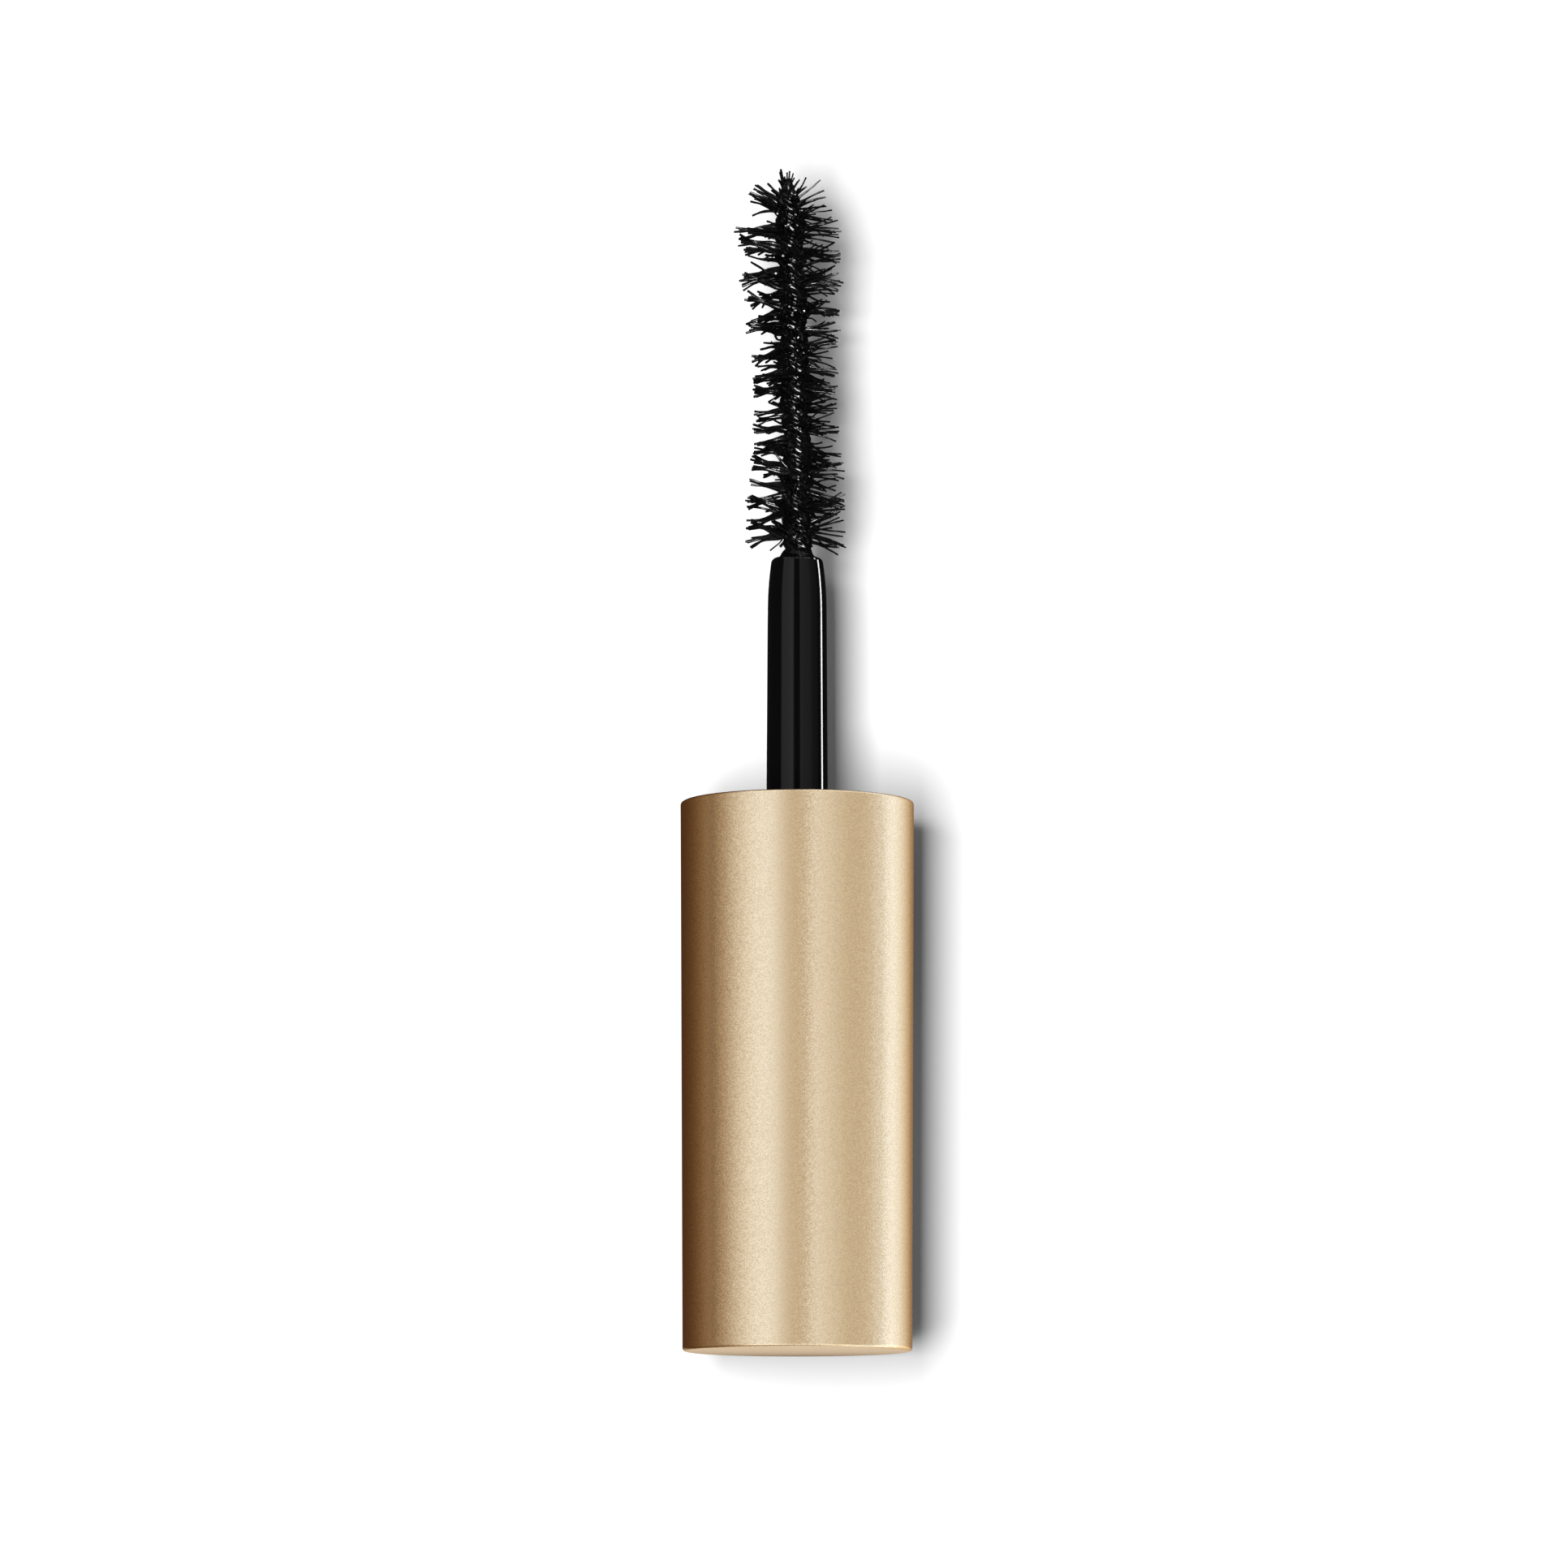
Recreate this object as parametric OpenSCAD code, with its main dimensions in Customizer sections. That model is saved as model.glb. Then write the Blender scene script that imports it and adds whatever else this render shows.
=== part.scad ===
// Mascara applicator: a screw cap with its stem and twisted-wire brush, lying on its side.
// Each part is drawn standing on the cap's closed end, with its axis along Z, and is then laid down.
// Lengths are in millimetres.

/* [Outer cap] */
// Length of the cap, from the closed end to the mouth
cap_len = 39.9; // [38:0.1:46]
// Outer diameter at the mouth
cap_mouth_d = 17; // [16.8:0.1:18.4]
// Outer diameter at the closed end, which is smaller by the moulding draft
cap_end_d = 16.6; // [16.4:0.1:18.4]
// Diameter of the bore that takes the inner cap
cap_bore_d = 15; // [14.6:0.1:15.2]
// Thickness of the closed end
cap_floor = 0.9; // [0.7:0.1:1.4]
// Radius of the edge round the closed end
cap_edge_r = 0.25; // [0.1:0.05:0.4]

/* [Neck thread] */
// Root diameter of the thread that the bottle's neck screws into
thread_root_d = 12.9; // [12.5:0.1:13]
// Height of the thread ridge
thread_height = 0.65; // [0.4:0.05:0.8]
// Rise of the thread in one turn
thread_pitch = 3; // [2.6:0.1:3.4]
// Number of turns of the thread
thread_turns = 1.5; // [1:0.25:1.75]

/* [Stem] */
// Length of the stem that stands out of the cap's mouth
stem_reach = 18; // [14:0.5:24]
// Diameter of the stem at the mouth
stem_base_d = 4.48; // [4.1:0.02:4.5]
// Diameter of the stem where its rounded nose begins
stem_nose_d = 4.32; // [3.9:0.02:4.5]

/* [Brush] */
// Length of the bristled part, up to the tip
brush_len = 27.8; // [22:0.2:30]
// Diameter of the bristles at their two wide ends
brush_belly_d = 7.8; // [6:0.1:8.4]
// Diameter of the bristles at the waist
brush_waist_d = 6.24; // [5:0.1:8]
// Diameter of the wire
wire_d = 0.7; // [0.5:0.05:0.8]
// Length of one full turn of the twisted wire
twist_pitch = 3; // [2.6:0.1:4]
// Sideways bow of the brush at its tip
brush_bow = 0.75; // [0:0.05:1.2]

/* [Hidden] */
$fn = 96;
arc_steps = 5;          // straight pieces in a small rounded edge
seat_gap = 0.1;         // radial gap between the inner cap's skirt and the outer cap's bore

// Outer cap
mouth_r = cap_mouth_d / 2;
end_r = cap_end_d / 2;
bore_r = cap_bore_d / 2;
rim_r = 0.2;            // rounding of the mouth's two edges

// Weight
weight_len = 5;
weight_r = bore_r - 0.2;
weight_edge = 0.6;
weight_top = cap_floor + weight_len;

// Inner cap, from the mouth inwards
skirt_inset = 0.5;      // the skirt stops this far below the mouth
skirt_depth = 12.3;     // from the skirt's edge to the partition
lip_height = 0.8;       // the ring at the skirt's edge that closes the gap to the outer cap
lip_chamfer = 0.4;
partition = 1.6;
skirt_top = cap_len - skirt_inset;
partition_top = skirt_top - skirt_depth;
partition_low = partition_top - partition;
skirt_r = bore_r - seat_gap;
thread_r = thread_root_d / 2;
tail_r = 3.6;           // the tube that holds the stem and keeps the weight against the closed end
tail_bore_r = 2.3;
crush_rib_count = 12;
crush_rib_w = 0.8;
crush_rib_len = 9;

// Thread ridge
thread_root_w = 1.6;
thread_crest_w = 0.8;
thread_embed = 0.15;    // how far the ridge's root lies inside the wall
thread_runout = 0.12;   // share of the ridge over which each end fades away
thread_start = partition_top + 3.4;
thread_step = 12;       // degrees

// Gasket
gasket_in_r = 3.7;
gasket_out_r = thread_r - 0.1;
gasket_thick = 0.8;

// Stem
stem_end = cap_len + stem_reach;
stem_root_r = 2.28;
stem_root_low = partition_low - 11.4;
barb_r = 2.5;
barb_low = stem_root_low + 1.6;
barb_rise = 0.9;
barb_len = 2.2;
groove_gap = 0.05;
collar_r = 3.6;
collar_h = 1.6;
nose_len = 4.2;
nose_pinch = 0.25;      // how much the radius draws in over the nose before the rounded shoulder
shoulder_r = 0.4;
wire_hole_depth = 6.5;

// Brush
wire_r = wire_d / 2;
strand_r = wire_r + 0.05;      // from the twist's axis to the middle of each strand
core_r = strand_r + wire_r;
wire_low = stem_end - wire_hole_depth + 0.2;
bristle_low = stem_end + 1.2;
brush_end = bristle_low + brush_len;
wire_end = brush_end - 1.5;
row_angle = 12;                // half the angle that a row of bristles takes up round the axis
row_waist_r = 0.045;           // half the thickness of the bristles between the wire's strands
tip_len = 5.5;                 // where the bristles round off
tip_power = 2.6;
root_len = 1.8;                // where the bristles nearest the stem stay at their full length
waist_share = 0.38;            // of the bristled length, from the stem
waist_power = 1.6;
row_rings = round(brush_len / twist_pitch * 16);
wire_rings = round((wire_end - wire_low) / twist_pitch * 10);
wire_rise = (wire_end - wire_low) / wire_rings;
wire_lead = atan(strand_r * 2 * PI / twist_pitch);
wire_angles = [for (k = [0:5]) k * 60];
bend_steps = 6;

total_len = brush_end;

// Points on an arc, from angle a0 to angle a1
function arc(x, y, r, a0, a1, n = arc_steps) =
    [for (i = [0:n]) let (a = a0 + (a1 - a0) * i / n) [x + r * cos(a), y + r * sin(a)]];

// Sideways offset of the brush's own axis at height z
function bow(z) = -brush_bow * pow(max(0, z - stem_end) / (brush_end - stem_end), 2);

// Twist angle at height z: a left-hand twist
function twist(z) = -360 * (z - wire_low) / twist_pitch;

// Outer radius of the bristles at height z: waisted, with a rounded tip
function bristle_r(z) =
    let (waist_z = bristle_low + waist_share * brush_len,
         reach = z < waist_z ? waist_z - bristle_low - root_len : brush_end - tip_len - waist_z,
         body = brush_waist_d / 2
              + (brush_belly_d - brush_waist_d) / 2 * pow(min(1, abs(z - waist_z) / reach), waist_power),
         into_tip = max(0, z - (brush_end - tip_len)) / tip_len)
    max(core_r + 0.3, body * pow(1 - pow(into_tip, tip_power), 0.8));

// A closed solid through rings of points, each with the same number of points
module loft(rings) {
    n = len(rings[0]);
    last = len(rings) - 1;
    polyhedron(
        points = [for (ring = rings) each ring],
        faces = concat(
            [[for (k = [0:n - 1]) k]],
            [for (i = [0:last - 1], k = [0:n - 1])
                each let (a = i * n + k, b = i * n + (k + 1) % n, c = b + n, d = a + n)
                    [[a, c, b], [a, d, c]]],
            [[for (k = [n - 1:-1:0]) last * n + k]]),
        convexity = 10);
}

// Lays a standing part on its side, with its mouth edge on the ground and the middle of its length at Y = 0
module lay() translate([0, -total_len / 2, mouth_r]) rotate([-90, 0, 0]) children();

module outer_cap() color("burlywood") rotate_extrude()
    polygon(concat(
        [[0, 0]],
        arc(end_r - cap_edge_r, cap_edge_r, cap_edge_r, -90, 0),
        arc(mouth_r - rim_r, cap_len - rim_r, rim_r, 0, 90),
        arc(bore_r + rim_r, cap_len - rim_r, rim_r, 90, 180),
        [[bore_r, cap_floor], [0, cap_floor]]));

// The ridge that the bottle's thread runs under
module thread_ridge() {
    turn_steps = ceil(thread_turns * 360 / thread_step);
    loft([for (i = [0:turn_steps])
        let (t = i / turn_steps,
             fade = min(1, t / thread_runout, (1 - t) / thread_runout) * 1.1 - 0.1,
             a = t * thread_turns * 360,
             z = thread_start + t * thread_turns * thread_pitch,
             crest = thread_r - thread_height * fade,
             root = thread_r + thread_embed)
            [for (p = [[root, -thread_root_w], [crest, -thread_crest_w],
                       [crest, thread_crest_w], [root, thread_root_w]])
                [p.x * cos(a), p.x * sin(a), z + p.y / 2]]]);
}

module inner_cap() color("dimgray") {
    difference() {
        union() {
            rotate_extrude() polygon([
                [0, weight_top], [tail_r, weight_top], [tail_r, partition_low],
                [skirt_r, partition_low], [skirt_r, skirt_top - lip_height],
                [bore_r, skirt_top - lip_height], [bore_r, skirt_top],
                [thread_r + lip_chamfer, skirt_top], [thread_r, skirt_top - lip_chamfer],
                [thread_r, partition_top], [0, partition_top]]);
            intersection() {
                for (i = [0:crush_rib_count - 1]) rotate(i * 360 / crush_rib_count)
                    translate([skirt_r - 0.4, -crush_rib_w / 2, partition_low + 1])
                        cube([1, crush_rib_w, crush_rib_len]);
                cylinder(r = bore_r, h = cap_len);
            }
        }
        translate([0, 0, weight_top - 1]) cylinder(r = tail_bore_r, h = partition_top - weight_top + 2);
        rotate_extrude() polygon([
            [0, barb_low - 0.3], [barb_r + groove_gap, barb_low - 0.3],
            [barb_r + groove_gap, barb_low + barb_len], [0, barb_low + barb_len]]);
    }
    thread_ridge();
}

module cap_weight() color("silver") rotate_extrude()
    polygon([
        [0, cap_floor], [weight_r - weight_edge, cap_floor], [weight_r, cap_floor + weight_edge],
        [weight_r, weight_top - weight_edge], [weight_r - weight_edge, weight_top], [0, weight_top]]);

module neck_gasket() color("whitesmoke") translate([0, 0, partition_top])
    difference() {
        cylinder(r = gasket_out_r, h = gasket_thick);
        translate([0, 0, -1]) cylinder(r = gasket_in_r, h = gasket_thick + 2);
    }

module stem() color("black") difference() {
    rotate_extrude() polygon(concat(
        [[0, stem_root_low], [stem_root_r - 0.4, stem_root_low], [stem_root_r, stem_root_low + 0.4],
         [stem_root_r, barb_low], [barb_r, barb_low + barb_rise], [barb_r, barb_low + barb_len - 0.2],
         [stem_root_r, barb_low + barb_len], [stem_root_r, partition_top],
         [collar_r, partition_top], [collar_r, partition_top + collar_h - 0.3],
         [collar_r - 0.3, partition_top + collar_h],
         [stem_base_d / 2, partition_top + collar_h], [stem_base_d / 2, cap_len]],
        [for (i = [0:8]) let (t = i / 8)
            [stem_nose_d / 2 - nose_pinch * pow(t, 2.2), stem_end - nose_len + (nose_len - shoulder_r) * t]],
        arc(stem_nose_d / 2 - nose_pinch - shoulder_r, stem_end - shoulder_r, shoulder_r, 0, 90),
        [[0, stem_end]]));
    translate([0, 0, stem_end - wire_hole_depth])
        cylinder(r = core_r + 0.02, h = wire_hole_depth + 1, $fn = 48);
}

// Ring i of one strand of the wire: side is 0 for the half that goes up and 180 for the half that comes down
function strand_ring(i, side) =
    let (z = wire_low + i * wire_rise,
         a = twist(z) + side,
         out = [cos(a), sin(a), 0],
         along = [sin(a) * sin(wire_lead), -cos(a) * sin(wire_lead), cos(wire_lead)] * (side == 0 ? 1 : -1),
         across = cross(along, out))
    [for (q = wire_angles)
        [bow(z), 0, z] + strand_r * out + wire_r * (cos(q) * out + sin(q) * across)];

// Ring j of the bend that joins the two halves at the tip
function bend_ring(j) =
    let (u = 180 * j / bend_steps,
         a = twist(wire_end),
         out = cos(u) * [cos(a), sin(a), 0] + [0, 0, sin(u)],
         across = [-sin(a), cos(a), 0])
    [for (q = wire_angles)
        [bow(wire_end), 0, wire_end] + strand_r * out + wire_r * (cos(q) * out + sin(q) * across)];

// One wire, bent double at the tip, with its two halves twisted round each other
module brush_wire() color("dimgray") loft(concat(
    [for (i = [0:wire_rings]) strand_ring(i, 0)],
    [for (j = [1:bend_steps - 1]) bend_ring(j)],
    [for (i = [wire_rings:-1:0]) strand_ring(i, 180)]));

// The bristles at height z: a strip through the gap between the wire's two strands, wider away from the wire
function bristle_ring(z) =
    [for (side = [90, 270])
        each [for (p = [[bristle_r(z), -row_angle], [bristle_r(z), row_angle], [row_waist_r, 90]])
            [bow(z) + p.x * cos(twist(z) + side + p.y), p.x * sin(twist(z) + side + p.y), z]]];

// The spiral fan that all the bristles form together
module bristles() color("black")
    loft([for (i = [0:row_rings]) bristle_ring(bristle_low + brush_len * i / row_rings)]);

lay() outer_cap();
lay() inner_cap();
lay() cap_weight();
lay() neck_gasket();
lay() stem();
lay() brush_wire();
lay() bristles();
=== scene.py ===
"""A mascara applicator lying on a white table: gold screw cap, black stem and wet twisted-wire brush."""
import math

import bpy
from mathutils import Matrix, Vector, noise


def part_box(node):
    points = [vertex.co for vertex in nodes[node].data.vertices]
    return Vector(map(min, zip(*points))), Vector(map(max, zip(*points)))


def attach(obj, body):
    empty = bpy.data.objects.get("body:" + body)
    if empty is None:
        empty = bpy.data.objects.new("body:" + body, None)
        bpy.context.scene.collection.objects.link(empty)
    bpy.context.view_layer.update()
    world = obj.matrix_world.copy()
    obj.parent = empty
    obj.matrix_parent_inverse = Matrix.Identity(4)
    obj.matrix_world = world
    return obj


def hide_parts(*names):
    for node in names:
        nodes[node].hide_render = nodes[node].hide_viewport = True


MM = 0.001

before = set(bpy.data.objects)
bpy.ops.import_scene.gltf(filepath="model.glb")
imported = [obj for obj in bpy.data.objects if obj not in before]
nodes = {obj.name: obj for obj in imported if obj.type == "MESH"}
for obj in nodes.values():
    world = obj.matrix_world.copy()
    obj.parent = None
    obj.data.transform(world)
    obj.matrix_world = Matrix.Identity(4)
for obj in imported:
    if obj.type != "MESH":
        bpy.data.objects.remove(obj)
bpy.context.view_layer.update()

# ---------------------------------------------------------------------------------------------------------
# Outer cap. A straight-sided ABS moulding, sprayed with a pale gold metallic lacquer and left satin.
# The lacquer holds fine aluminium flakes that lie at slightly different angles, so the surface sparkles
# in small grains, and most where the light falls away. It presses over the inner cap.
# ---------------------------------------------------------------------------------------------------------
FLAKE_SIZE = 0.058 * MM     # real flakes are about 0.03 mm: drawn as coarse as they need to show
FLAKE_TILT = 0.032          # how far a flake can lean, as a slope
FLAKE_DIM = "#c3ab88"
FLAKE_BRIGHT = "#dfcaa9"
ORANGE_PEEL_SIZE = 1.6 * MM


def linear(hex_code):
    """The linear colour, with alpha, of an sRGB hex value."""
    parts = [int(hex_code[i:i + 2], 16) / 255 for i in (1, 3, 5)]
    return [c / 12.92 if c <= 0.04045 else ((c + 0.055) / 1.055) ** 2.4 for c in parts] + [1.0]


def add(tree, kind, inputs=None, **settings):
    """Adds a node with its settings, and gives each named or numbered input a value or a link."""
    node = tree.nodes.new(kind)
    for name, value in settings.items():
        setattr(node, name, value)
    for key, value in (inputs or {}).items():
        if isinstance(value, bpy.types.NodeSocket):
            tree.links.new(value, node.inputs[key])
        else:
            node.inputs[key].default_value = value
    return node


def new_material(name):
    """An empty node material, with its tree and its output node."""
    material = bpy.data.materials.new(name)
    material.use_nodes = True
    material.node_tree.nodes.clear()
    return material, material.node_tree, add(material.node_tree, "ShaderNodeOutputMaterial")


def dress(piece, material):
    """Gives a piece one material all over."""
    piece.data.materials.clear()
    piece.data.materials.append(material)


def gold_lacquer():
    """Gold metallic lacquer, satin: flakes tint and tilt the surface, and orange peel waves it gently."""
    material, tree, output = new_material("gold_metallic_lacquer")
    place = add(tree, "ShaderNodeTexCoord").outputs["Object"]
    flake = add(tree, "ShaderNodeTexVoronoi", {"Vector": place, "Scale": 1 / FLAKE_SIZE})
    shade = add(tree, "ShaderNodeSeparateColor", {"Color": flake.outputs["Color"]})
    tint = add(tree, "ShaderNodeMix", {"Factor": shade.outputs["Red"], "A": linear(FLAKE_DIM),
                                       "B": linear(FLAKE_BRIGHT)}, data_type="RGBA")
    peel = add(tree, "ShaderNodeTexNoise", {"Vector": place, "Scale": 1 / ORANGE_PEEL_SIZE, "Detail": 1.0})
    wave = add(tree, "ShaderNodeBump", {"Height": peel.outputs["Fac"], "Strength": 0.1,
                                        "Distance": 0.01 * MM})
    lie = add(tree, "ShaderNodeVectorMath", {0: flake.outputs["Color"], 1: (0.5, 0.5, 0.5)},
              operation="SUBTRACT")
    lean = add(tree, "ShaderNodeVectorMath", {0: lie.outputs["Vector"], 1: (2 * FLAKE_TILT,) * 3,
                                              2: wave.outputs["Normal"]}, operation="MULTIPLY_ADD")
    tilt = add(tree, "ShaderNodeVectorMath", {0: lean.outputs["Vector"]}, operation="NORMALIZE")
    shader = add(tree, "ShaderNodeBsdfPrincipled", {
        "Base Color": tint.outputs["Result"], "Metallic": 1.0, "Roughness": 0.24,
        "Specular Tint": linear("#f0dabb"), "Normal": tilt.outputs["Vector"]})
    tree.links.new(shader.outputs["BSDF"], output.inputs["Surface"])
    return material


dress(nodes["outer_cap"], gold_lacquer())

# ---------------------------------------------------------------------------------------------------------
# Inner cap. The threaded liner, moulded in black polypropylene, which comes out of its tool with a low
# shine and very slight sink waves. Its ribs and lip grip the outer cap's bore.
# ---------------------------------------------------------------------------------------------------------
SINK_SIZE = 4 * MM


def black_polypropylene():
    """Polypropylene, moulded: a soft shine that varies a little with the tool's polish."""
    material, tree, output = new_material("black_polypropylene_moulded")
    place = add(tree, "ShaderNodeTexCoord").outputs["Object"]
    sink = add(tree, "ShaderNodeTexNoise", {"Vector": place, "Scale": 1 / SINK_SIZE, "Detail": 3.0})
    polish = add(tree, "ShaderNodeMapRange", {"Value": sink.outputs["Fac"], "To Min": 0.28, "To Max": 0.42})
    wave = add(tree, "ShaderNodeBump", {"Height": sink.outputs["Fac"], "Strength": 0.3,
                                        "Distance": 0.05 * MM})
    shader = add(tree, "ShaderNodeBsdfPrincipled", {
        "Base Color": linear("#121213"), "Roughness": polish.outputs["Result"], "IOR": 1.49,
        "Normal": wave.outputs["Normal"]})
    tree.links.new(shader.outputs["BSDF"], output.inputs["Surface"])
    return material


dress(nodes["inner_cap"], black_polypropylene())

# ---------------------------------------------------------------------------------------------------------
# Cap weight. A slug parted off steel bar, faced in a lathe and zinc plated. It lies in the closed end,
# where the liner's tail holds it down. The facing cut leaves fine rings.
# ---------------------------------------------------------------------------------------------------------
FACING_FEED = 0.12 * MM     # the tool's feed in one turn


def zinc_plated_steel():
    """Steel, turned and zinc plated: rings round the axis, under a bright grey plate."""
    material, tree, output = new_material("zinc_plated_steel_turned")
    place = add(tree, "ShaderNodeTexCoord").outputs["Object"]
    low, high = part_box("cap_weight")
    centre = add(tree, "ShaderNodeMapping", {"Vector": place, "Location": -(low + high) / 2})
    rings = add(tree, "ShaderNodeTexWave", {"Vector": centre.outputs["Vector"], "Scale": 0.05 / FACING_FEED,
                                            "Distortion": 0.0},
                wave_type="RINGS", rings_direction="Y")
    cut = add(tree, "ShaderNodeBump", {"Height": rings.outputs["Fac"], "Strength": 0.4,
                                       "Distance": 0.01 * MM})
    shader = add(tree, "ShaderNodeBsdfPrincipled", {
        "Base Color": linear("#b9bcc0"), "Metallic": 1.0, "Roughness": 0.32,
        "Normal": cut.outputs["Normal"]})
    tree.links.new(shader.outputs["BSDF"], output.inputs["Surface"])
    return material


dress(nodes["cap_weight"], zinc_plated_steel())

# ---------------------------------------------------------------------------------------------------------
# Neck gasket. A washer punched from expanded polyethylene sheet, which lies on the liner's partition and
# seals against the bottle's neck. Its skin shows the foam's closed cells.
# ---------------------------------------------------------------------------------------------------------
FOAM_CELL = 0.25 * MM


def polyethylene_foam():
    """Expanded polyethylene: off-white, matt, with small closed cells under the skin."""
    material, tree, output = new_material("polyethylene_foam")
    place = add(tree, "ShaderNodeTexCoord").outputs["Object"]
    cells = add(tree, "ShaderNodeTexVoronoi", {"Vector": place, "Scale": 1 / FOAM_CELL})
    skin = add(tree, "ShaderNodeBump", {"Height": cells.outputs["Distance"], "Strength": 0.6,
                                        "Distance": 0.04 * MM})
    shader = add(tree, "ShaderNodeBsdfPrincipled", {
        "Base Color": linear("#e6e4dd"), "Roughness": 0.75, "IOR": 1.51, "Normal": skin.outputs["Normal"],
        "Subsurface Weight": 0.15, "Subsurface Scale": 0.3 * MM})
    tree.links.new(shader.outputs["BSDF"], output.inputs["Surface"])
    return material


dress(nodes["neck_gasket"], polyethylene_foam())

# ---------------------------------------------------------------------------------------------------------
# Stem. A polished black acetal rod that snaps into the liner's socket. Its rounded nose grips the brush's
# wire. Pulled through the wiper, it comes out clean and mirror-bright, with the faintest draw lines.
# ---------------------------------------------------------------------------------------------------------
DRAW_LINE = 0.35 * MM


def black_acetal():
    """Acetal, moulded in a polished tool: near-mirror gloss with faint lines along the rod."""
    material, tree, output = new_material("black_acetal_polished")
    place = add(tree, "ShaderNodeTexCoord").outputs["Object"]
    along = add(tree, "ShaderNodeMapping", {"Vector": place, "Scale": (1.0, 0.02, 1.0)})
    lines = add(tree, "ShaderNodeTexNoise", {"Vector": along.outputs["Vector"], "Scale": 1 / DRAW_LINE,
                                             "Detail": 2.0})
    polish = add(tree, "ShaderNodeMapRange", {"Value": lines.outputs["Fac"], "To Min": 0.03,
                                              "To Max": 0.09})
    shader = add(tree, "ShaderNodeBsdfPrincipled", {
        "Base Color": linear("#060607"), "Roughness": polish.outputs["Result"], "IOR": 1.48})
    tree.links.new(shader.outputs["BSDF"], output.inputs["Surface"])
    return material


dress(nodes["stem"], black_acetal())

# ---------------------------------------------------------------------------------------------------------
# Brush wire. One stainless wire, bent double at the brush's tip, with its two halves twisted round each
# other to the left so that they clamp the bristles. Its ends are staked in the stem's nose.
# ---------------------------------------------------------------------------------------------------------
WIRE_R = 0.35 * MM
STRAND_R = WIRE_R + 0.05 * MM       # from the twist's axis to the middle of a strand
TWIST_PITCH = 3.0 * MM
WIRE_SET_IN = 6.3 * MM              # how far the wire goes into the stem
WIRE_SHORT_OF_TIP = 1.5 * MM        # the bristles reach this far past the wire
BOW_AT_TIP = 0.75 * MM              # the brush has taken a slight set to one side
WIRE_FILM_PATCH = 0.6 * MM
POINTS_A_TURN = 20
BEND_POINTS = 10

axis_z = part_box("stem")[1].z / 2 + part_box("stem")[0].z / 2
stem_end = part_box("stem")[1].y
brush_low, brush_end = (corner.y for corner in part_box("bristles"))
wire_foot = stem_end - WIRE_SET_IN
wire_end = brush_end - WIRE_SHORT_OF_TIP


def bow(y):
    """How far the brush's own axis lies to the side at the place y."""
    return -BOW_AT_TIP * (max(0.0, y - stem_end) / (brush_end - stem_end)) ** 2


def twist(y):
    """The angle that the first strand has reached at the place y, turning to the left."""
    return -math.tau * (y - wire_foot) / TWIST_PITCH


def off_axis(y, angle, radius):
    """A point at an angle round the brush's axis, and at a radius from it."""
    return Vector((bow(y) + radius * math.cos(angle), y, axis_z - radius * math.sin(angle)))


def stainless_wire():
    """Stainless steel, drawn: dark grey, under a black film of product that leaves it bare in patches."""
    material, tree, output = new_material("stainless_wire_drawn")
    place = add(tree, "ShaderNodeTexCoord").outputs["Object"]
    film = add(tree, "ShaderNodeTexNoise", {"Vector": place, "Scale": 1 / WIRE_FILM_PATCH, "Detail": 4.0})
    coat = add(tree, "ShaderNodeMapRange", {"Value": film.outputs["Fac"], "From Min": 0.35,
                                            "From Max": 0.5})
    colour = add(tree, "ShaderNodeMix", {"Factor": coat.outputs["Result"], "A": linear("#3c3c3f"),
                                         "B": linear("#0a0a0b")}, data_type="RGBA")
    shader = add(tree, "ShaderNodeBsdfPrincipled", {
        "Base Color": colour.outputs["Result"], "Metallic": 0.6, "Roughness": 0.25})
    tree.links.new(shader.outputs["BSDF"], output.inputs["Surface"])
    return material


def strand_points(side):
    """The middle line of one half of the wire, from the stem to the bend."""
    steps = round((wire_end - wire_foot) / TWIST_PITCH * POINTS_A_TURN)
    heights = [wire_foot + (wire_end - wire_foot) * i / steps for i in range(steps + 1)]
    return [off_axis(y, twist(y) + side, STRAND_R) for y in heights]


def bend_points():
    """The half circle that joins the two strands at the brush's tip."""
    line = []
    for i in range(1, BEND_POINTS):
        turn = math.pi * i / BEND_POINTS
        point = off_axis(wire_end, twist(wire_end), STRAND_R * math.cos(turn))
        line.append(point + Vector((0, STRAND_R * math.sin(turn), 0)))
    return line


def mesh_object(name, mesh):
    """A linked object, at the origin, for a mesh that already holds its own place."""
    piece = bpy.data.objects.new(name, mesh)
    bpy.context.scene.collection.objects.link(piece)
    return piece


def plain_mesh(maker):
    """The evaluated shape of an object as a plain mesh; the object itself is removed."""
    graph = bpy.context.evaluated_depsgraph_get()
    mesh = bpy.data.meshes.new_from_object(maker.evaluated_get(graph))
    bpy.data.objects.remove(maker)
    return mesh


wire_line = strand_points(0) + bend_points() + strand_points(math.pi)[::-1]
wire_curve = bpy.data.curves.new("wire_line", "CURVE")
wire_curve.dimensions = "3D"
wire_curve.bevel_depth = WIRE_R
wire_curve.bevel_resolution = 3
wire_curve.use_fill_caps = True
spline = wire_curve.splines.new("POLY")
spline.points.add(len(wire_line) - 1)
for point, place in zip(spline.points, wire_line):
    point.co = (*place, 1.0)
twisted_wire = mesh_object("twisted_wire", plain_mesh(mesh_object("wire_line", wire_curve)))
twisted_wire.data.shade_smooth()
dress(twisted_wire, stainless_wire())
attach(twisted_wire, "root")
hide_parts("brush_wire")

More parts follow.
